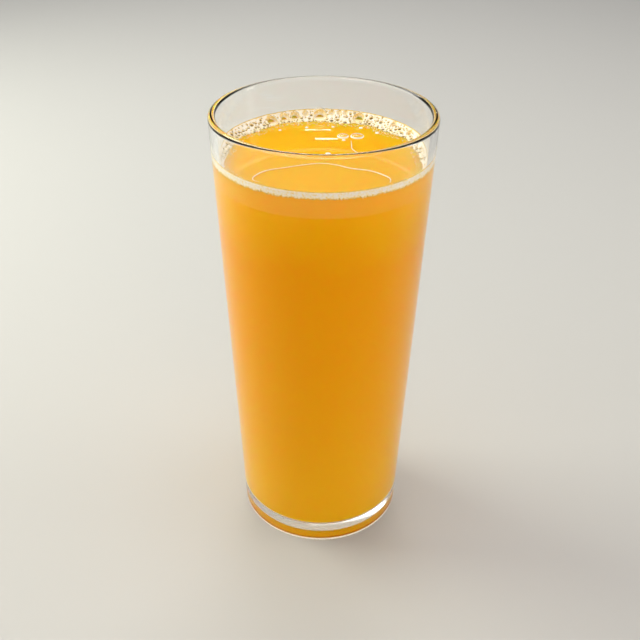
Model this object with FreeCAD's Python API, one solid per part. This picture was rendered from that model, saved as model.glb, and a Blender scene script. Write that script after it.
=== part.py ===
"""A tall tapered glass of orange juice: the glass, the juice in it and the ring of froth on top.

Millimetres, +Z up.  The origin is the centre of the base, on the surface that the glass stands on.
The back of the glass, where the froth is widest, is +Y.
"""
import FreeCAD, Part
import math
import os

# The glass
HEIGHT = 150.0
RIM_RADIUS = 34.3
BASE_RADIUS = 28.2
RIM_WALL = 2.2
FLOOR_WALL = 2.6
FLOOR_THICKNESS = 7.2
FLOOR_FILLET = 3.0
HEEL_RADIUS = 1.6
PUNT_DEPTH = 1.0
PUNT_FLAT_RADIUS = 19.0
STANDING_RING = 2.0

# The juice: how far its level lies below the rim
HEADROOM = 13.0

# The froth: a ring against the wall, wide and high at the back, narrow and low at the front
FROTH_BACK_WIDTH = 6.4
FROTH_FRONT_WIDTH = 1.8
FROTH_BACK_HEIGHT = 2.4
FROTH_FRONT_HEIGHT = 1.4
FROTH_SLOPE = 1.1

# The largest bubbles, as domes in the froth: direction in degrees from +X, diameter,
# and how far the middle of the bubble stands above the juice
BUBBLES = (
    (124.5, 3.3, 1.0),
    (115.5, 3.0, 1.4),
    (108.5, 3.0, 1.3),
    (101.5, 2.0, 1.5),
    (92.5, 4.3, 1.7),
    (85.0, 2.0, 1.7),
    (80.5, 1.7, 1.9),
    (76.5, 1.7, 1.9),
    (67.5, 3.6, 1.2),
    (42.5, 1.8, 0.9),
    (27.5, 1.8, 0.8),
)
BUBBLE_CLEARANCE = 0.3

RIM_BEAD = RIM_WALL / 2
JUICE_LEVEL = HEIGHT - HEADROOM
Z_AXIS = FreeCAD.Vector(0, 0, 1)


def between(z, low_z, high_z, low, high):
    """The value at height z on the straight line from low, at low_z, to high, at high_z."""
    return low + (high - low) * (z - low_z) / (high_z - low_z)


def outer_radius(z):
    """Radius of the outside of the glass at height z."""
    return between(z, HEEL_RADIUS, HEIGHT - RIM_BEAD, BASE_RADIUS, RIM_RADIUS)


def inner_radius(z):
    """Radius of the inside of the glass at height z, above the fillet at its floor."""
    low_z = FLOOR_THICKNESS + FLOOR_FILLET
    low = outer_radius(low_z) - FLOOR_WALL
    return between(z, low_z, HEIGHT - RIM_BEAD, low, RIM_RADIUS - RIM_WALL)


def point(radius, z):
    return FreeCAD.Vector(radius, 0, z)


def line(start, end):
    return Part.LineSegment(start, end).toShape()


def arc(start, middle, end):
    return Part.Arc(start, middle, end).toShape()


def corner_arc(start, centre, end, radius):
    """The arc of a rounded corner, through the point of it that lies halfway between its ends."""
    outward = (start - centre) + (end - centre)
    outward.normalize()
    return arc(start, centre + outward * radius, end)


def revolved(edges):
    """The solid that a closed outline in the XZ plane sweeps about the Z axis."""
    face = Part.Face(Part.Wire(edges))
    solid = face.revolve(FreeCAD.Vector(0, 0, 0), Z_AXIS, 360)
    if solid.Volume < 0:
        solid.reverse()
    return solid


def floor_edges():
    """The inside of the floor, from the wall down its fillet and in to the axis."""
    fillet_z = FLOOR_THICKNESS + FLOOR_FILLET
    wall_foot = point(inner_radius(fillet_z), fillet_z)
    centre = wall_foot - point(FLOOR_FILLET, 0)
    floor_edge = centre - point(0, FLOOR_FILLET)
    fillet = corner_arc(wall_foot, centre, floor_edge, FLOOR_FILLET)
    return wall_foot, [fillet, line(floor_edge, point(0, FLOOR_THICKNESS))]


def punt_edges(ring_inner):
    """The hollow under the base: a flat middle, and an arc from its edge down to the standing ring."""
    punt_top = point(0, PUNT_DEPTH)
    flat_edge = point(PUNT_FLAT_RADIUS, PUNT_DEPTH)
    run = ring_inner.x - PUNT_FLAT_RADIUS
    arc_radius = (run ** 2 + PUNT_DEPTH ** 2) / (2 * PUNT_DEPTH)
    half_turn = math.asin(run / arc_radius) / 2
    middle = flat_edge + point(arc_radius * math.sin(half_turn), arc_radius * (math.cos(half_turn) - 1))
    return punt_top, [line(punt_top, flat_edge), arc(flat_edge, middle, ring_inner)]


def make_glass():
    """One piece of glass: tapered wall, round rim, thick floor, and a hollow under the base."""
    ring_outer = point(BASE_RADIUS - HEEL_RADIUS, 0)
    ring_inner = ring_outer - point(STANDING_RING, 0)
    punt_top, punt = punt_edges(ring_inner)
    heel_centre = ring_outer + point(0, HEEL_RADIUS)
    heel_top = point(BASE_RADIUS, HEEL_RADIUS)
    rim_outer = point(RIM_RADIUS, HEIGHT - RIM_BEAD)
    rim_top = point(RIM_RADIUS - RIM_BEAD, HEIGHT)
    rim_inner = point(RIM_RADIUS - RIM_WALL, HEIGHT - RIM_BEAD)
    wall_foot, floor = floor_edges()
    return revolved([
        *punt,
        line(ring_inner, ring_outer),
        corner_arc(ring_outer, heel_centre, heel_top, HEEL_RADIUS),
        line(heel_top, rim_outer),
        arc(rim_outer, rim_top, rim_inner),
        line(rim_inner, wall_foot),
        *floor,
        line(point(0, FLOOR_THICKNESS), punt_top),
    ])


def make_juice():
    """The juice fills the glass from its floor to the level, and touches it all round."""
    wall_foot, floor = floor_edges()
    level_edge = point(inner_radius(JUICE_LEVEL), JUICE_LEVEL)
    level_middle = point(0, JUICE_LEVEL)
    return revolved([
        line(level_middle, level_edge),
        line(level_edge, wall_foot),
        *floor,
        line(point(0, FLOOR_THICKNESS), level_middle),
    ])


def bubble(direction, diameter, lift):
    """One large bubble: a ball beside the wall, cut off where it meets the juice."""
    z = JUICE_LEVEL + lift
    radius = diameter / 2
    reach = inner_radius(z) - BUBBLE_CLEARANCE - radius
    angle = math.radians(direction)
    middle = FreeCAD.Vector(reach * math.cos(angle), reach * math.sin(angle), z)
    ball = Part.makeSphere(radius, middle)
    above = Part.makeBox(diameter, diameter, diameter + lift)
    above.translate(FreeCAD.Vector(middle.x - radius, middle.y - radius, JUICE_LEVEL))
    return ball.common(above)


def make_froth():
    """The froth stands on the juice against the wall, around an off-centre opening."""
    tall = FROTH_BACK_HEIGHT + FROTH_FRONT_HEIGHT
    bottom = inner_radius(JUICE_LEVEL)
    top = inner_radius(JUICE_LEVEL + tall)
    ring = Part.makeCone(bottom, top, tall, point(0, JUICE_LEVEL))

    opening_radius = bottom - (FROTH_BACK_WIDTH + FROTH_FRONT_WIDTH) / 2
    off_centre = (FROTH_BACK_WIDTH - FROTH_FRONT_WIDTH) / 2
    opening_base = FreeCAD.Vector(0, -off_centre, JUICE_LEVEL)
    opening_top = opening_radius + FROTH_SLOPE * tall
    opening = Part.makeCone(opening_radius, opening_top, tall, opening_base)

    side = 3 * bottom
    above = Part.makeBox(side, side, side, FreeCAD.Vector(-side / 2, -side / 2, 0))
    rise = FROTH_BACK_HEIGHT - FROTH_FRONT_HEIGHT
    tilt = math.degrees(math.atan2(rise, 2 * bottom))
    middle_height = (FROTH_BACK_HEIGHT + FROTH_FRONT_HEIGHT) / 2
    above.rotate(FreeCAD.Vector(0, 0, 0), FreeCAD.Vector(1, 0, 0), tilt)
    above.translate(FreeCAD.Vector(0, 0, JUICE_LEVEL + middle_height))

    froth = ring.cut(opening).cut(above)
    for direction, diameter, lift in BUBBLES:
        froth = froth.fuse(bubble(direction, diameter, lift))
    return froth.removeSplitter()


def write(name, shape):
    """Write one node's solid, and say how large it is."""
    solid = shape.Solids[0]
    if len(shape.Solids) != 1 or not solid.isValid():
        raise ValueError(f"{name} isn't one valid solid: {len(shape.Solids)} solids")
    solid.exportStep(f"parts/{name}.step")
    box = solid.optimalBoundingBox()
    print(f"{name}: {solid.Volume / 1000:.2f} cm3, z {box.ZMin:.2f} to {box.ZMax:.2f}, "
          f"x {box.XLength:.2f}, y {box.YLength:.2f}")


def main():
    os.makedirs("parts", exist_ok=True)
    write("glass", make_glass())
    write("juice", make_juice())
    write("froth", make_froth())


main()
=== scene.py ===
"""The looks of a tall glass of orange juice: clear glass, cloudy juice, and froth made of real bubbles.

Metres, +Z up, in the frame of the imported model.  The back of the glass, where the froth is widest, is +Y.
"""
import math
import random

import bmesh
import bpy
import numpy as np
from mathutils import Matrix, Vector, noise


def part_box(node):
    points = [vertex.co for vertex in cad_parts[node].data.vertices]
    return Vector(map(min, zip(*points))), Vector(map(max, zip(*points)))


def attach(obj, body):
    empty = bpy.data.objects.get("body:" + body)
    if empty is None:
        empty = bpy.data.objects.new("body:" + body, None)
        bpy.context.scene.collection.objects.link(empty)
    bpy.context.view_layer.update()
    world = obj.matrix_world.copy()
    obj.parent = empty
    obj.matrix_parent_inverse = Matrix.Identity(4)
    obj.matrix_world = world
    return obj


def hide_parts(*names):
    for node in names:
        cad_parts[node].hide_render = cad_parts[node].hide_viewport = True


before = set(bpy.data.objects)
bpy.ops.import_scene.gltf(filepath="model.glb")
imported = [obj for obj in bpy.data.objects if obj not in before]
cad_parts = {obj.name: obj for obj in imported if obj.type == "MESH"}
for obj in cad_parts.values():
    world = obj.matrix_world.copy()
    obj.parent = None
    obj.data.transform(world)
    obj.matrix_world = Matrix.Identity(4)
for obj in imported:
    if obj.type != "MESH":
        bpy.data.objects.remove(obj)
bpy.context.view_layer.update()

MM = 0.001

# Sizes taken from the frame
GLASS_LOW, GLASS_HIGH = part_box("glass")
JUICE_LOW, JUICE_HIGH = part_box("juice")
HEIGHT = GLASS_HIGH[2]
RIM_RADIUS = (GLASS_HIGH[0] - GLASS_LOW[0]) / 2
JUICE_LEVEL = JUICE_HIGH[2]
FLOOR_TOP = JUICE_LOW[2]

# The glass
BASE_RADIUS = 28.2 * MM
RIM_WALL = 2.2 * MM
FLOOR_WALL = 2.6 * MM
FLOOR_FILLET = 3.0 * MM
HEEL_RADIUS = 1.6 * MM
PUNT_DEPTH = 1.0 * MM
PUNT_FLAT_RADIUS = 19.0 * MM
STANDING_RING = 2.0 * MM
RIM_BEAD = RIM_WALL / 2
GLASS_SEGMENTS = 192
WALL_STRIPS = 26
RIM_STRIPS = 24
HEEL_STRIPS = 12
PUNT_STRIPS = 12
PUNT_RINGS = 6
FLOOR_RINGS = 8
FILLET_STRIPS = 16
SUPPORT_GAP = 0.15 * MM  # between the end of a straight stretch and the loop that guards its shading
WORN_GLOW_STRIPS = 4  # of the profile: the flat ring and the start of the heel, rubbed pale and given a painted glow

# The juice
BITE = 0.35 * MM  # how far the juice and the froth reach into the wall, so that no air shows
JUICE_SEGMENTS = 288
JUICE_WALL_STRIPS = 40
TOP_RINGS = 110
MENISCUS_HEIGHT = 1.1 * MM
MENISCUS_WIDTH = 1.0 * MM
SWELL = 0.006 * MM
SWELLS_PER_METRE = 60

# The froth
FROTH_BACK_HEIGHT = 2.4 * MM
FROTH_FRONT_HEIGHT = 1.7 * MM
# How far it reaches in from the wall: at the front, and what the sides and the back add to that
FROTH_FRONT_WIDTH = 1.5 * MM
FROTH_SIDE_WIDTH = 2.1 * MM
FROTH_BACK_WIDTH = 2.9 * MM
FROTH_BITE = BITE + 0.06 * MM  # a little further out than the juice, so that it hides it
FROTH_SEGMENTS = 1300
FROTH_WALL_ROWS = 14
FROTH_TOP_ROWS = 52
PAINTED_SHADE_LINE = 0.4  # tone of the thin painted shade line where the froth ends on the wall
PAINTED_SHADE_LINE_FROM = 0.93  # share of the way up the froth's side where that painted shade line begins
FROTH_FRINGE = 1.3  # how far the thin inner fringe reaches, as a share of the froth's width
FROTH_SINK = 0.6 * MM
LEAST_FROTH = 0.25 * MM  # left under an open bubble

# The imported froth's own bubbles, too fine to be balls: their spacing, and how high they swell
WALL_CELL = 0.5 * MM
FOOT_CELL = 0.8 * MM
COARSE_CELL = 0.7 * MM
COARSE_RELIEF = 0.14 * MM
FINE_CELL = 0.33 * MM
FINE_RELIEF = 0.08 * MM
PATCHES_PER_METRE = 450
PATCH_RELIEF = 0.12 * MM
FRINGE_DROP = 0.33 * MM

# The largest bubbles: direction in degrees from +X, diameter, and how far the middle stands
# above the juice, in millimetres
LARGE_BUBBLES = (
    (124.5, 3.3, 1.0),
    (115.5, 3.0, 1.4),
    (108.5, 3.0, 1.3),
    (101.5, 2.0, 1.5),
    (92.5, 4.3, 1.7),
    (85.0, 2.0, 1.7),
    (80.5, 1.7, 1.9),
    (76.5, 1.7, 1.9),
    (67.5, 3.6, 1.2),
    (42.5, 1.8, 0.9),
    (27.5, 1.8, 0.8),
)
BUBBLE_CLEARANCE = 0.3 * MM  # from a large bubble to the wall; half of it for the scattered ones

# Bubbles scattered on the froth: how many are wanted, and the smallest and largest radius
MEDIUM_BUBBLES = (85, 0.45 * MM, 0.75 * MM)
SMALL_BUBBLES = (260, 0.25 * MM, 0.42 * MM)
FINE_BUBBLES = (700, 0.10 * MM, 0.20 * MM)
TRIES_PER_BUBBLE = 15

# Low bubbles adrift on the juice: x, y and diameter, in millimetres
ADRIFT_BUBBLES = (
    (6.1, 13.3, 3.7),
    (10.6, 13.4, 4.3),
    (6.3, 10.2, 1.2),
    (1.4, -1.1, 1.7),
    (-11.6, -0.7, 1.0),
    (12.0, 20.8, 1.3),
    (3.0, 21.6, 1.0),
    (-5.5, 20.8, 1.1),
    (-14.0, 18.2, 1.0),
    (17.0, 16.5, 1.2),
)

# Threads of froth adrift on the juice: x and y of points to pass by, in millimetres, and thickness there
FROTH_THREADS = (
    (
        (-17.6, -21.2, 0.2), (-19.8, -20.4, 0.6), (-19.6, -17.4, 1.0), (-16.8, -13.2, 1.0),
        (-11.0, -11.0, 0.7), (-5.4, -8.7, 0.9), (-0.6, -7.4, 0.6), (4.0, -8.6, 0.8), (8.0, -11.4, 1.0),
        (13.4, -12.4, 0.9), (17.0, -15.4, 1.0), (19.4, -18.6, 0.9), (18.4, -21.0, 0.4),
    ),
    (
        (8.6, 9.8, 0.3), (8.7, 6.0, 0.6), (8.6, 2.4, 0.6), (10.6, -0.4, 0.3),
    ),
)
THREAD_RADIUS = 0.23 * MM


# Shapes

def between(z, low_z, high_z, low, high):
    """The value at height z on the straight line from low, at low_z, to high, at high_z."""
    return low + (high - low) * (z - low_z) / (high_z - low_z)


def outer_radius(z):
    return between(z, HEEL_RADIUS, HEIGHT - RIM_BEAD, BASE_RADIUS, RIM_RADIUS)


def inner_radius(z):
    low_z = FLOOR_TOP + FLOOR_FILLET
    low = outer_radius(low_z) - FLOOR_WALL
    return between(z, low_z, HEIGHT - RIM_BEAD, low, RIM_RADIUS - RIM_WALL)


def arc_points(centre_r, centre_z, radius, start, end, count):
    """Points (r, z) on an arc, from the start angle to the end angle in degrees."""
    angles = [math.radians(start + (end - start) * i / count) for i in range(count + 1)]
    return [(centre_r + radius * math.cos(a), centre_z + radius * math.sin(a)) for a in angles]


def even_steps(start, end, count):
    """Values from start to end without the two themselves, and one close to each, which keeps the
    smooth shading of a straight stretch away from the curve that it runs into."""
    close = math.copysign(SUPPORT_GAP, end - start)
    return [start + close, *np.linspace(start, end, count)[1:-1], end - close]


def lathe(profile, segments):
    """Vertices and faces of a profile of (r, z) points turned about Z; r of 0 makes one shared point."""
    verts, faces, rings = [], [], []
    for r, z in profile:
        if r <= 1e-9:
            rings.append([len(verts)] * segments)
            verts.append((0.0, 0.0, z))
            continue
        rings.append(list(range(len(verts), len(verts) + segments)))
        for i in range(segments):
            a = 2 * math.pi * i / segments
            verts.append((r * math.cos(a), r * math.sin(a), z))
    for low, high in zip(rings, rings[1:]):
        for i in range(segments):
            j = (i + 1) % segments
            corners = [low[i], low[j], high[j], high[i]]
            faces.append([v for k, v in enumerate(corners) if v not in corners[:k]])
    return verts, faces


def mesh_piece(name, verts, faces, materials, slots=None, smooth=True):
    mesh = bpy.data.meshes.new(name)
    mesh.from_pydata(verts, [], faces)
    for material in materials:
        mesh.materials.append(material)
    if slots is not None:
        mesh.polygons.foreach_set("material_index", slots)
    mesh.polygons.foreach_set("use_smooth", [smooth] * len(mesh.polygons))
    mesh.update()
    mesh.validate()
    piece = bpy.data.objects.new(name, mesh)
    bpy.context.scene.collection.objects.link(piece)
    return piece


# Materials

GLASS_IOR = 1.5
WATER_IOR = 1.33
JUICE_IOR = 1.35

# The juice, from its floor (0) to its surface (1): yellower near the floor, more orange in the middle,
# and yellower near the top as painted light of the lit surface
JUICE_COLOURS_AND_TOP_LIGHT = (
    (0.0, (0.87, 0.445, 0.0)),
    (0.12, (0.87, 0.440, 0.0)),
    (0.35, (0.87, 0.400, 0.0)),
    (0.60, (0.87, 0.372, 0.0)),
    (0.80, (0.87, 0.365, 0.0)),
    # From here up the yellow is painted light of the lit surface.
    (0.91, (0.87, 0.430, 0.0)),
    (1.0, (0.89, 0.465, 0.008)),
)

# Froth, by tone: dark and brown, which paint shade in open bubbles and at the wall, juice yellow, cream and
# white
FROTH_AND_PAINTED_SHADE_COLOURS = (
    (0.0, (0.07, 0.05, 0.02)),
    (0.28, (0.36, 0.25, 0.08)),
    (0.5, (0.92, 0.60, 0.10)),
    (0.72, (0.96, 0.78, 0.43)),
    (1.0, (0.97, 0.88, 0.78)),
)

# Tone of the froth in and round an open bubble, with painted shade and light: distance from its middle in
# radii, and tone
# A large bowl: cream, a painted highlight ring, then a painted dark outline at its edge.
LARGE_BOWL_PAINTED_RINGS = ((0, 0.74), (0.6, 0.78), (0.85, 0.9), (0.95, 0.95), (1.0, 0.3), (1.1, 0.9))
# A small bowl: painted shade, darkest in the middle, up to a white rim.
SMALL_BOWL_PAINTED_SHADE = ((0, 0.02), (0.7, 0.10), (0.9, 0.35), (1.0, 1.0), (1.12, 1.05))
LARGE_BOWL_FROM = 0.8 * MM  # radius
BOWL_REACH = 1.12


def new_material(name):
    material = bpy.data.materials.new(name)
    material.use_nodes = True
    tree = material.node_tree
    shader = tree.nodes["Principled BSDF"]
    return material, tree, shader


def node(tree, kind, inputs=None, **settings):
    """A new node with its settings, and its inputs set to a value or linked to a socket."""
    made = tree.nodes.new(kind)
    for key, value in settings.items():
        setattr(made, key, value)
    for key, value in (inputs or {}).items():
        socket = made.inputs[key]
        if isinstance(value, bpy.types.NodeSocket):
            tree.links.new(value, socket)
        else:
            socket.default_value = value
    return made


def math_node(tree, operation, first, second, clamp=False):
    made = node(tree, "ShaderNodeMath", {0: first, 1: second}, operation=operation, use_clamp=clamp)
    return made.outputs[0]


def noise_value(tree, position, scale, **inputs):
    """Soft noise from 0 to 1, with about scale lumps to the metre."""
    made = node(tree, "ShaderNodeTexNoise", {"Vector": position, "Scale": scale, "Detail": 3.0, **inputs})
    return made.outputs["Fac"]


def map_range(tree, value, low, high, to_low=0.0, to_high=1.0, interpolation="LINEAR"):
    """The value's place between low and high, put in the same place between to_low and to_high."""
    made = node(tree, "ShaderNodeMapRange", {
        "Value": value, "From Min": low, "From Max": high, "To Min": to_low, "To Max": to_high,
    }, interpolation_type=interpolation)
    return made.outputs[0]


def object_position(tree):
    return node(tree, "ShaderNodeTexCoord").outputs["Object"]


def height_of(tree, position):
    return node(tree, "ShaderNodeSeparateXYZ", {0: position}).outputs["Z"]


def ramp(tree, factor, stops, interpolation="EASE"):
    """A colour ramp over factor, from stops of (position, colour)."""
    made = node(tree, "ShaderNodeValToRGB", {"Fac": factor})
    made.color_ramp.interpolation = interpolation
    elements = made.color_ramp.elements
    while len(elements) < len(stops):
        elements.new(0.5)
    for element, (position, colour) in zip(elements, stops):
        element.position = position
        element.color = (*colour, 1)
    return made.outputs["Color"]


def glass_material(name, mirror_tint):
    """Clear glass, whose head-on reflections take the mirror's tint."""
    material, tree, shader = new_material(name)
    shader.inputs["Base Color"].default_value = (0.99, 0.99, 0.985, 1)
    shader.inputs["Roughness"].default_value = 0.0
    shader.inputs["IOR"].default_value = GLASS_IOR
    shader.inputs["Transmission Weight"].default_value = 1.0
    shader.inputs["Specular Tint"].default_value = mirror_tint
    let_light_through(tree, shader, (0.98, 0.98, 0.98, 1))
    return material


def worn_glass_painted_glow_material():
    """The ring that the glass stands on, rubbed pale and matt by the table, with a painted glow: an even
    emission that stands in for the light that the wall of the glass carries down to it."""
    material, tree, shader = new_material("glass_worn_ring_painted_glow")
    shader.inputs["Base Color"].default_value = (0.85, 0.82, 0.76, 1)
    shader.inputs["IOR"].default_value = GLASS_IOR
    shader.inputs["Transmission Weight"].default_value = 0.1
    # Painted glow: an even emission, though the ring is no lamp.
    shader.inputs["Emission Color"].default_value = (1.0, 0.93, 0.80, 1)
    shader.inputs["Emission Strength"].default_value = 0.5
    rubs = noise_value(tree, object_position(tree), 900.0)
    tree.links.new(map_range(tree, rubs, 0.0, 1.0, 0.25, 0.6), shader.inputs["Roughness"])
    let_light_through(tree, shader, (0.9, 0.9, 0.9, 1))
    return material


def let_light_through(tree, shader, tint):
    """Rays to lamps, and rays that have bounced off something dull, aren't bent by this surface, so that
    what lies behind it is lit evenly."""
    path = node(tree, "ShaderNodeLightPath")
    soft = math_node(tree, "MAXIMUM", path.outputs["Is Shadow Ray"], path.outputs["Is Diffuse Ray"])
    through = node(tree, "ShaderNodeBsdfTransparent", {"Color": tint})
    mix = node(tree, "ShaderNodeMixShader", {0: soft, 1: shader.outputs[0], 2: through.outputs[0]})
    tree.links.new(mix.outputs[0], tree.nodes["Material Output"].inputs["Surface"])


def juice_colour_and_top_light(tree, position):
    """Cloudy orange with faint soft clouds of pulp: yellower near the floor, and a little yellower near the
    top, where the yellow is painted light of the lit surface.
    """
    height = map_range(tree, height_of(tree, position), FLOOR_TOP, JUICE_LEVEL)
    cloud = noise_value(tree, position, 45.0, Roughness=0.55)
    shift = math_node(tree, "MULTIPLY", math_node(tree, "SUBTRACT", cloud, 0.5), 0.16)
    factor = math_node(tree, "ADD", height, shift, clamp=True)
    return ramp(tree, factor, JUICE_COLOURS_AND_TOP_LIGHT, "LINEAR")


def juice_material(name, kind):
    """Juice scatters light inside it.  Its top is wet and open to the air, its side lies against glass,
    and its bottom, given a painted glow for the light that the juice above lets down, is seen through
    the thick base, where a slanting look meets a total reflection."""
    material, tree, shader = new_material(name)
    tree.links.new(juice_colour_and_top_light(tree, object_position(tree)), shader.inputs["Base Color"])
    shader.inputs["Subsurface Weight"].default_value = 1.0
    shader.inputs["Subsurface Radius"].default_value = (1.0, 0.32, 0.06)
    shader.inputs["Subsurface Scale"].default_value = 12.0 * MM
    if kind == "top":
        shader.inputs["IOR"].default_value = JUICE_IOR
        shader.inputs["Roughness"].default_value = 0.0
    else:
        shader.inputs["IOR"].default_value = 1.05
        shader.inputs["Roughness"].default_value = 0.35
        shader.inputs["Specular IOR Level"].default_value = 0.2
    if kind == "bottom":
        # Painted glow: an orange emission on the juice's bottom, standing in for light let down through the
        # juice.
        shader.inputs["Emission Color"].default_value = (0.90, 0.50, 0.0, 1)
        shader.inputs["Emission Strength"].default_value = 0.28
    if kind in ("bottom", "corner"):
        slant = node(tree, "ShaderNodeLayerWeight", {"Blend": 0.5}).outputs["Facing"]
        total = map_range(tree, slant, 0.45, 0.53, interpolation="SMOOTHSTEP")
        silver = {"Color": (1.0, 1.0, 0.98, 1), "Roughness": 0.15}
        mirror = node(tree, "ShaderNodeBsdfAnisotropic", silver)
        mix = node(tree, "ShaderNodeMixShader", {0: total, 1: shader.outputs[0], 2: mirror.outputs[0]})
        tree.links.new(mix.outputs[0], tree.nodes["Material Output"].inputs["Surface"])
    return material


def froth_material(name, tone_name=None, tone=0.85):
    """Froth.  Its tone is a value kept on the mesh, or one tone all over, and varies a little either way."""
    material, tree, shader = new_material(name)
    cloud = noise_value(tree, object_position(tree), 700.0)
    shift = math_node(tree, "MULTIPLY", math_node(tree, "SUBTRACT", cloud, 0.5), 0.35)
    if tone_name:
        tone = node(tree, "ShaderNodeAttribute", attribute_name=tone_name).outputs["Fac"]
    colour = ramp(tree, math_node(tree, "ADD", shift, tone, clamp=True), FROTH_AND_PAINTED_SHADE_COLOURS, "LINEAR")
    tree.links.new(colour, shader.inputs["Base Color"])
    shader.inputs["Subsurface Weight"].default_value = 0.2
    shader.inputs["Subsurface Radius"].default_value = (1.0, 0.85, 0.6)
    shader.inputs["Subsurface Scale"].default_value = 0.3 * MM
    shader.inputs["Roughness"].default_value = 0.22
    shader.inputs["IOR"].default_value = WATER_IOR
    return material


def film_material(name, foot_height):
    """The thin wet wall of a bubble: clear, with a painted white highlight where it is seen edge on, and the
    same painted highlight up to foot_height above the juice, where the juice climbs it."""
    material, tree, shader = new_material(name)
    shader.inputs["Base Color"].default_value = (1.0, 0.99, 0.96, 1)
    shader.inputs["Roughness"].default_value = 0.0
    shader.inputs["IOR"].default_value = WATER_IOR
    shader.inputs["Transmission Weight"].default_value = 1.0
    slant = node(tree, "ShaderNodeLayerWeight", {"Blend": 0.5}).outputs["Facing"]
    # Painted highlight: white mixed in by the angle of view, standing in for reflections of the bright
    # horizon.
    painted_sheen = map_range(tree, slant, 0.62, 1.0, to_high=0.85, interpolation="SMOOTHSTEP")
    if foot_height:
        z = height_of(tree, object_position(tree))
        # The painted highlight also covers the foot, standing in for the lit meniscus round a floating
        # bubble.
        foot = map_range(tree, z, JUICE_LEVEL + foot_height, JUICE_LEVEL + foot_height / 2)
        painted_sheen = math_node(tree, "MAXIMUM", painted_sheen, foot)
    painted_sheen_white = node(tree, "ShaderNodeBsdfDiffuse", {"Color": (0.98, 0.95, 0.86, 1)})
    wall = node(tree, "ShaderNodeMixShader", {0: painted_sheen, 1: shader.outputs[0], 2: painted_sheen_white.outputs[0]})
    let_light_through(tree, wall, (1, 1, 1, 1))
    return material


def floor_material():
    material, _, shader = new_material("floor_pale")
    shader.inputs["Base Color"].default_value = (0.53, 0.52, 0.505, 1)
    shader.inputs["Roughness"].default_value = 0.6
    return material


# Pieces

def glass_outline():
    """Points (r, z) round the glass, in four runs: the hollow under the base, the heel, the outside, and
    the rim with all that lies inside."""
    ring_inner = BASE_RADIUS - HEEL_RADIUS - STANDING_RING
    run = ring_inner - PUNT_FLAT_RADIUS
    slope_radius = (run ** 2 + PUNT_DEPTH ** 2) / (2 * PUNT_DEPTH)
    turn = math.degrees(math.asin(run / slope_radius))
    flat = [(PUNT_FLAT_RADIUS * i / PUNT_RINGS, PUNT_DEPTH) for i in range(PUNT_RINGS)]
    slope = arc_points(PUNT_FLAT_RADIUS, PUNT_DEPTH - slope_radius, slope_radius, 90, 90 - turn, PUNT_STRIPS)
    heel = arc_points(BASE_RADIUS - HEEL_RADIUS, HEEL_RADIUS, HEEL_RADIUS, -90, 0, HEEL_STRIPS)
    rim_z = HEIGHT - RIM_BEAD
    outside = [(outer_radius(z), z) for z in even_steps(HEEL_RADIUS, rim_z, WALL_STRIPS)]
    rim = arc_points(RIM_RADIUS - RIM_BEAD, rim_z, RIM_BEAD, 0, 180, RIM_STRIPS)
    fillet_z = FLOOR_TOP + FLOOR_FILLET
    inside = [(inner_radius(z), z) for z in even_steps(rim_z, fillet_z, WALL_STRIPS)]
    foot_r = inner_radius(fillet_z) - FLOOR_FILLET
    fillet = arc_points(foot_r, fillet_z, FLOOR_FILLET, 0, -90, FILLET_STRIPS)
    floor = [(r, FLOOR_TOP) for r in even_steps(foot_r, 0, FLOOR_RINGS)] + [(0, FLOOR_TOP)]
    return flat + slope, heel, outside, rim + inside + fillet + floor


def make_glass():
    """The glass, with its round rim, heel, hollow under the base and rounded floor inside.  Its wall is
    tinted in reflections where juice lies behind it."""
    punt, heel, outside, rest = glass_outline()
    verts, faces = lathe(punt + heel + outside + rest, GLASS_SEGMENTS)
    worn_glow_strips = range(len(punt) - 1, len(punt) - 1 + WORN_GLOW_STRIPS)
    wall_strips = range(len(punt) + len(heel), len(punt) + len(heel) + len(outside))
    clear, before_juice, worn_and_glow = range(3)
    slots = []
    for k, face in enumerate(faces):
        strip = k // GLASS_SEGMENTS
        slot = clear
        if strip in worn_glow_strips:
            slot = worn_and_glow
        elif strip in wall_strips and max(verts[v][2] for v in face) < JUICE_LEVEL:
            slot = before_juice
        slots.append(slot)
    materials = [
        glass_material("glass_clear", (1, 1, 1, 1)),
        glass_material("glass_before_juice", (0.7, 0.5, 0.1, 1)),
        worn_glass_painted_glow_material(),
    ]
    piece = mesh_piece("tumbler", verts, faces, materials, slots)
    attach(piece, "root")
    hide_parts("glass")


def juice_height(x, y):
    """How far the juice's surface stands above its level: it climbs the wall, and hardly ripples."""
    from_wall = max(inner_radius(JUICE_LEVEL) - math.hypot(x, y), 0)
    climb = MENISCUS_HEIGHT * math.exp(-from_wall / MENISCUS_WIDTH)
    swell = SWELL * noise.noise(Vector((x * SWELLS_PER_METRE, y * SWELLS_PER_METRE, 0.3)))
    return climb + swell


def close_with_surface(verts, faces):
    """Add the juice's wet surface, ring by ring from the last ring of vertices in to the middle."""
    edge = inner_radius(JUICE_LEVEL) + BITE
    last = list(range(len(verts) - JUICE_SEGMENTS, len(verts)))
    for ring in range(1, TOP_RINGS):
        r = edge * (1 - (ring / TOP_RINGS))
        new = []
        for i in range(JUICE_SEGMENTS):
            a = 2 * math.pi * i / JUICE_SEGMENTS
            x, y = r * math.cos(a), r * math.sin(a)
            new.append(len(verts))
            verts.append((x, y, JUICE_LEVEL + juice_height(x, y)))
        for i in range(JUICE_SEGMENTS):
            j = (i + 1) % JUICE_SEGMENTS
            faces.append([last[i], last[j], new[j], new[i]])
        last = new
    middle = len(verts)
    verts.append((0, 0, JUICE_LEVEL + juice_height(0, 0)))
    for i in range(JUICE_SEGMENTS):
        faces.append([last[i], last[(i + 1) % JUICE_SEGMENTS], middle])


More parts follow.
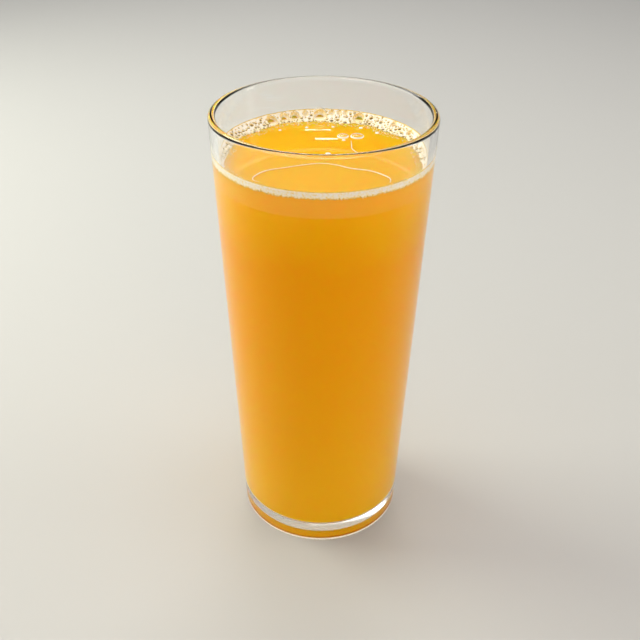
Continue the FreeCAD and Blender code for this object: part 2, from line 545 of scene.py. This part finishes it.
def make_juice():
    """The juice, closed and a little larger than the hollow it fills, with its wet surface on top."""
    fillet_z = FLOOR_TOP + FLOOR_FILLET
    foot_r = inner_radius(fillet_z) - FLOOR_FILLET
    floor = [(foot_r * i / FLOOR_RINGS, FLOOR_TOP - BITE) for i in range(FLOOR_RINGS)]
    fillet = arc_points(foot_r, fillet_z, FLOOR_FILLET + BITE, -90, 0, FILLET_STRIPS)
    edge_z = JUICE_LEVEL + MENISCUS_HEIGHT
    side_steps = (*even_steps(fillet_z, edge_z, JUICE_WALL_STRIPS), edge_z)
    side = [(inner_radius(z) + BITE, z) for z in side_steps]
    verts, faces = lathe(floor + fillet + side, JUICE_SEGMENTS)
    below = len(faces)
    close_with_surface(verts, faces)

    bottom_end = (len(floor) - 1) * JUICE_SEGMENTS
    corner_end = (len(floor) + len(fillet) - 1) * JUICE_SEGMENTS
    faces_of = {
        "bottom": bottom_end,
        "corner": corner_end - bottom_end,
        "side": below - corner_end,
        "top": len(faces) - below,
    }
    slots = [slot for slot, count in enumerate(faces_of.values()) for _ in range(count)]
    materials = [juice_material("juice_" + kind, kind) for kind in faces_of]
    piece = mesh_piece("orange_juice", verts, faces, materials, slots)
    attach(piece, "root")
    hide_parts("juice")


def ease(value, low, high):
    """0 below low, 1 above high, and a soft step between."""
    share = min(max((value - low) / (high - low), 0), 1)
    return share * share * (3 - 2 * share)


def lean(angle):
    """0 at the front of the glass and 1 at its back; the angle is in radians from +X."""
    return (1 + math.sin(angle)) / 2


def froth_width(angle):
    """How far the froth reaches in from the wall."""
    back = lean(angle)
    sides = FROTH_SIDE_WIDTH * ease(back, 0.25, 0.5)
    even = FROTH_FRONT_WIDTH + sides + FROTH_BACK_WIDTH * ease(back, 0.55, 1.0)
    waver = noise.noise(Vector((math.cos(angle) * 3, math.sin(angle) * 3, 5.0)))
    return even * (1 + 0.3 * waver)


def froth_rise(angle, inset):
    """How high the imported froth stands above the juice, at a distance in from the wall."""
    tall = FROTH_FRONT_HEIGHT + (FROTH_BACK_HEIGHT - FROTH_FRONT_HEIGHT) * lean(angle)
    share = min(inset / froth_width(angle), 1)
    return tall * (1 - share) ** 2


def gap_from(x, y, size):
    """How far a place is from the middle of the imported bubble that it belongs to: 0 there, and about 1
    between two."""
    return noise.voronoi(Vector((x / size, y / size, 0.5)))[0][0]


def froth_section(angle):
    """Points (r, z, tone) round the froth in one direction: up the wall, in over its top, and down."""
    width = froth_width(angle)
    along = angle * inner_radius(JUICE_LEVEL)
    top_z = JUICE_LEVEL + froth_rise(angle, 0)
    foot = JUICE_LEVEL - FROTH_SINK * (1.5 - 1.3 * gap_from(along, 0, FOOT_CELL))
    points = []
    for k in range(FROTH_WALL_ROWS):
        up = k / (FROTH_WALL_ROWS - 1)
        z = between(up, 0, 1, foot, top_z)
        packed = gap_from(along + 0.6 * z, z, WALL_CELL)
        tone = 1.08 - 0.62 * packed ** 2 - 0.4 * (1 - ease(up, 0, 0.4))
        # Near its top the side takes the painted shade line where the froth meets the wall.
        points.append((inner_radius(z) + FROTH_BITE, z, tone if up < PAINTED_SHADE_LINE_FROM else PAINTED_SHADE_LINE))
    for k in range(FROTH_TOP_ROWS):
        share = k / (FROTH_TOP_ROWS - 1)
        inset = width * FROTH_FRINGE * share
        r = inner_radius(top_z) - inset
        x, y = r * math.cos(angle), r * math.sin(angle)
        coarse = gap_from(x, y, COARSE_CELL)
        fine = gap_from(x, y, FINE_CELL)
        patch = noise.noise(Vector((x * PATCHES_PER_METRE, y * PATCHES_PER_METRE, 2.0)))
        relief = COARSE_RELIEF * (1 - coarse) + FINE_RELIEF * (1 - fine) + PATCH_RELIEF * patch
        z = JUICE_LEVEL + froth_rise(angle, inset) + relief - FRINGE_DROP * share
        tone = 1.12 - 0.5 * ease(share, 0.3, 1.0) - 0.3 * coarse ** 2 - 0.25 * fine ** 2 + 0.12 * patch
        # The two rows at the wall take the same painted shade line.
        points.append((r, z, PAINTED_SHADE_LINE if k < 2 else tone))
    points.append((inner_radius(top_z) - width * FROTH_FRINGE, foot, 0.5))
    return points


def press_bubbles(places, tones, bubbles):
    """Open a bowl in the froth under each bubble: painted shade in a small one, for the light that hardly
    leaves it, and cream in a large one, with a painted highlight ring and a painted dark outline round it."""
    for x, y, z, radius in bubbles:
        share = np.hypot(places[:, 0] - x, places[:, 1] - y) / radius
        near = np.flatnonzero((share < BOWL_REACH) & (places[:, 2] > JUICE_LEVEL - FROTH_SINK))
        depth = np.sqrt(np.clip(1 - share[near] ** 2, 0, None)) * radius
        inside = share[near] < 1
        bowl = np.maximum(z - depth[inside], JUICE_LEVEL + LEAST_FROTH)
        places[near[inside], 2] = np.minimum(places[near[inside], 2], bowl)
        # Paint shade into a small bowl, or a highlight ring and a dark outline round a large one.
        profile = LARGE_BOWL_PAINTED_RINGS if radius > LARGE_BOWL_FROM else SMALL_BOWL_PAINTED_SHADE
        tones[near] = np.interp(share[near], *zip(*profile))


def make_froth(bubbles):
    """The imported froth: a low mound of fine bubbles against the wall, thinning out inwards, opened under
    each of the bubbles given."""
    rows = [froth_section(2 * math.pi * i / FROTH_SEGMENTS) for i in range(FROTH_SEGMENTS)]
    count = len(rows[0])
    places, tones = [], []
    for i, row in enumerate(rows):
        angle = 2 * math.pi * i / FROTH_SEGMENTS
        places += [(r * math.cos(angle), r * math.sin(angle), z) for r, z, _ in row]
        tones += [tone for _, _, tone in row]
    places, tones = np.array(places), np.array(tones)
    press_bubbles(places, tones, bubbles)
    faces = []
    for i in range(FROTH_SEGMENTS):
        j = (i + 1) % FROTH_SEGMENTS
        for k in range(count):
            m = (k + 1) % count
            faces.append([i * count + k, i * count + m, j * count + m, j * count + k])
    piece = mesh_piece("froth_packed", places.tolist(), faces, [froth_material("froth_packed", "froth_tone_and_painted_light")])
    piece.data.attributes.new("froth_tone_and_painted_light", "FLOAT", "POINT").data.foreach_set("value", tones)
    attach(piece, "root")
    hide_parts("froth")


def make_froth_threads():
    """Thin threads of froth adrift on the juice: a wide arch with curled ends, and a short one."""
    curves = bpy.data.curves.new("froth_threads", "CURVE")
    curves.dimensions = "3D"
    curves.bevel_depth = THREAD_RADIUS
    curves.bevel_resolution = 2
    for thread in FROTH_THREADS:
        spline = curves.splines.new("NURBS")
        spline.points.add(len(thread) - 1)
        for point, (x, y, thickness) in zip(spline.points, thread):
            point.co = (x * MM, y * MM, JUICE_LEVEL + juice_height(x * MM, y * MM), 1)
            point.radius = thickness
        spline.order_u = 3
        spline.use_endpoint_u = True
        spline.resolution_u = 16
    maker = bpy.data.objects.new("froth_threads", curves)
    mesh = bpy.data.meshes.new_from_object(maker)
    bpy.data.objects.remove(maker)
    mesh.materials.clear()
    mesh.materials.append(froth_material("froth_threads", tone=0.80))
    piece = bpy.data.objects.new("froth_threads", mesh)
    bpy.context.scene.collection.objects.link(piece)
    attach(piece, "root")
    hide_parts("froth")


def ball_template(subdivisions):
    """Vertices and triangles of a unit ball."""
    shape = bmesh.new()
    bmesh.ops.create_icosphere(shape, subdivisions=subdivisions, radius=1.0)
    verts = np.array([v.co[:] for v in shape.verts])
    faces = np.array([[v.index for v in f.verts] for f in shape.faces])
    shape.free()
    return verts, faces


def joined_balls(name, balls, subdivisions, material, skin=0.0, squash=1.0):
    """One piece of many balls, each (x, y, z, radius).  A skin makes them hollow, with a wall of that
    thickness, and squash flattens them."""
    unit, triangles = ball_template(subdivisions)
    unit = unit * (1, 1, squash)
    verts, faces, count = [], [], 0
    for x, y, z, radius in balls:
        centre = np.array([x, y, z])
        verts.append(unit * radius + centre)
        faces.append(triangles + count)
        count += len(unit)
        if skin:
            verts.append(unit * (radius - skin) + centre)
            faces.append(triangles[:, ::-1] + count)
            count += len(unit)
    piece = mesh_piece(name, np.concatenate(verts).tolist(), np.concatenate(faces).tolist(), [material])
    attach(piece, "root")
    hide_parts("froth")


def large_bubbles():
    """The largest bubbles, each close to the wall."""
    balls = []
    for direction, diameter, lift in LARGE_BUBBLES:
        z = JUICE_LEVEL + lift * MM
        radius = diameter * MM / 2
        reach = inner_radius(z) - BUBBLE_CLEARANCE - radius
        a = math.radians(direction)
        balls.append((reach * math.cos(a), reach * math.sin(a), z, radius))
    return balls


def clear_of(ball, taken):
    """True if a ball overlaps none of the balls in taken, seen from above."""
    x, y, _, radius = ball
    for other_x, other_y, _, other_radius in taken:
        if math.hypot(other_x - x, other_y - y) < other_radius + radius:
            return False
    return True


def scattered_bubbles(rng, count, smallest, largest, taken, front, reach_in):
    """Bubbles scattered on the froth, clear of those taken and of each other; front is how often one
    may lie in the front half, and reach_in how far in they go as a share of the froth's width."""
    balls = []
    for _ in range(count * TRIES_PER_BUBBLE):
        if len(balls) == count:
            break
        angle = rng.uniform(0, 2 * math.pi)
        if rng.random() > front + (1 - front) * ease(lean(angle), 0.35, 0.6):
            continue
        radius = smallest + (largest - smallest) * rng.random() ** 2
        inset = radius + BUBBLE_CLEARANCE / 2 + froth_width(angle) * reach_in * rng.random()
        z = JUICE_LEVEL + froth_rise(angle, inset) + radius * rng.uniform(0.0, 0.4)
        reach = inner_radius(z) - inset
        ball = (reach * math.cos(angle), reach * math.sin(angle), z, radius)
        if clear_of(ball, taken + balls):
            balls.append(ball)
    return balls


def make_bubbles():
    """Every bubble large enough to see, and the froth that they lie in."""
    rng = random.Random(7)
    film = film_material("bubble_film", foot_height=0)
    large = large_bubbles()
    medium = scattered_bubbles(rng, *MEDIUM_BUBBLES, large, front=0.0, reach_in=0.75)
    small = scattered_bubbles(rng, *SMALL_BUBBLES, large + medium, front=0.05, reach_in=0.9)
    grains = scattered_bubbles(rng, *FINE_BUBBLES, large + medium + small, front=0.6, reach_in=1.25)
    adrift = [(x * MM, y * MM, JUICE_LEVEL, d * MM / 2) for x, y, d in ADRIFT_BUBBLES]
    make_froth(large + medium + small)
    joined_balls("bubbles_large", large, 4, film, skin=0.06 * MM)
    joined_balls("bubbles_medium", medium, 3, film, skin=0.05 * MM)
    joined_balls("bubbles_small", small, 2, film, skin=0.04 * MM)
    joined_balls("bubbles_fine", grains, 2, froth_material("froth_grains"))
    low_film = film_material("bubble_film_low", foot_height=0.5 * MM)
    joined_balls("bubbles_adrift", adrift, 4, low_film, skin=0.04 * MM, squash=0.4)


# Stage

FLOOR_SIZE = 4.0
STUDIO_STRENGTH = 3.8

# The sky by height, from level (0) to overhead (1).  It is bright near the horizon, and dark at the back
# where the juice's surface mirrors it.
FRONT_SKY = (
    (0.0, (0.25, 0.235, 0.21)),
    (0.06, (0.25, 0.235, 0.21)),
    (0.22, (0.13, 0.13, 0.13)),
    (1.0, (0.10, 0.10, 0.10)),
)
BACK_SKY = (
    (0.0, (0.24, 0.24, 0.215)),
    (0.06, (0.24, 0.24, 0.215)),
    (0.22, (0.12, 0.12, 0.12)),
    (0.33, (0.012, 0.012, 0.012)),
    (0.42, (0.012, 0.012, 0.012)),
    (0.52, (0.13, 0.13, 0.13)),
)

# Lamps: name, place, width, height, watts and colour
SOFT_LAMPS = (
    ("key", (-0.62, 0.25, 0.42), 0.45, 0.45, 4.8, (0.96, 1.0, 0.86)),
    ("right", (0.65, 0.05, 0.26), 0.4, 0.5, 1.2, (1.0, 0.99, 0.88)),
    ("front", (0.10, -0.80, 0.36), 0.7, 0.5, 1.9, (1.0, 0.86, 0.72)),
    ("back", (0.05, 0.70, 0.80), 0.5, 0.4, 2.3, (1.0, 0.98, 0.95)),
    ("top", (0.0, 0.0, 1.0), 0.5, 0.4, 2.0, (1.0, 0.98, 0.95)),
)
SHEEN_LAMPS = (
    ("sheen_right", (0.65, 0.0, 0.26), 0.12, 0.5, 0.6, (1.0, 0.97, 0.94)),
    ("sheen_left", (-0.40, -0.35, 0.95), 0.4, 0.4, 2.0, (1.0, 0.97, 0.94)),
    ("sheen_back", (-0.40, 0.8, 0.95), 1.2, 0.3, 4.5, (1.0, 0.97, 0.94)),
)
WINDOWS = (
    ("window_near", (0.007, 1.5, 0.716), 0.055, 0.0026, 0.015, (1.0, 1.0, 1.0)),
    ("window_far", (-0.014, 1.5, 0.698), 0.063, 0.0020, 0.010, (1.0, 1.0, 1.0)),
)


def area_light(aim, name, place, width, height, power, colour):
    """A lamp that is lit but not seen, and faces the point that it is aimed at."""
    data = bpy.data.lights.new(name, "AREA")
    data.shape = "RECTANGLE"
    data.size = width
    data.size_y = height
    data.energy = power
    data.color = colour
    lamp = bpy.data.objects.new(name, data)
    lamp.location = place
    lamp.rotation_euler = (Vector(aim) - Vector(place)).to_track_quat("-Z", "Y").to_euler()
    lamp.visible_camera = False
    bpy.context.scene.collection.objects.link(lamp)
    return lamp


def make_lamps():
    """Soft lamps that light but don't gleam, sheen lamps that only gleam, and two windows mirrored as
    streaks in the juice."""
    middle = (0, 0, HEIGHT / 2)
    for lamp in SOFT_LAMPS:
        made = area_light(middle, *lamp)
        made.visible_glossy = False
        made.visible_transmission = False
    for lamp in SHEEN_LAMPS:
        area_light(middle, *lamp).visible_diffuse = False
    surface = (0, 0.012, JUICE_LEVEL)
    for lamp in WINDOWS:
        area_light(surface, *lamp)


def make_studio():
    """A plain pale floor under a plain sky."""
    size = FLOOR_SIZE
    verts = [(-size, -size, 0), (size, -size, 0), (size, size, 0), (-size, size, 0)]
    floor = mesh_piece("floor", verts, [[0, 1, 2, 3]], [floor_material()], smooth=False)

    world = bpy.data.worlds.new("studio")
    bpy.context.scene.world = world
    world.use_nodes = True
    tree = world.node_tree
    direction = node(tree, "ShaderNodeTexCoord").outputs["Generated"]
    parts = node(tree, "ShaderNodeSeparateXYZ", {0: direction}).outputs
    front = ramp(tree, parts["Z"], FRONT_SKY)
    back = ramp(tree, parts["Z"], BACK_SKY)
    behind = map_range(tree, parts["Y"], -0.1, 0.35)
    sky = node(tree, "ShaderNodeMix", {0: behind, 6: front, 7: back}, data_type="RGBA").outputs[2]
    background = tree.nodes["Background"]
    background.inputs["Strength"].default_value = STUDIO_STRENGTH
    tree.links.new(sky, background.inputs["Color"])


# Camera

CAMERA_DISTANCE = 306.3 * MM
CAMERA_ELEVATION = 33.0
CAMERA_ROLL = 0.5
CAMERA_AIM = Vector((-0.6 * MM, 0, 76.6 * MM))
FOCAL_LENGTH = 50.6
SENSOR_WIDTH = 36.0


def make_camera():
    """The photo's view of the glass, from the front and above."""
    data = bpy.data.cameras.new("camera")
    data.lens = FOCAL_LENGTH
    data.sensor_width = SENSOR_WIDTH
    data.clip_start = 0.01
    camera = bpy.data.objects.new("camera", data)
    rise = math.radians(CAMERA_ELEVATION)
    place = Vector((0, -CAMERA_DISTANCE * math.cos(rise), HEIGHT / 2 + CAMERA_DISTANCE * math.sin(rise)))
    facing = (CAMERA_AIM - place).to_track_quat("-Z", "Y").to_matrix().to_4x4()
    roll = Matrix.Rotation(math.radians(CAMERA_ROLL), 4, "Z")
    camera.matrix_world = Matrix.Translation(place) @ facing @ roll
    bpy.context.scene.collection.objects.link(camera)
    bpy.context.scene.camera = camera


make_camera()
make_studio()
make_lamps()
make_glass()
make_juice()
make_bubbles()
make_froth_threads()

scene = bpy.context.scene
scene.view_settings.view_transform = "Standard"
scene.view_settings.look = "None"
scene.cycles.max_bounces = 24
scene.cycles.transmission_bounces = 24
scene.cycles.transparent_max_bounces = 32

bpy.context.view_layer.update()
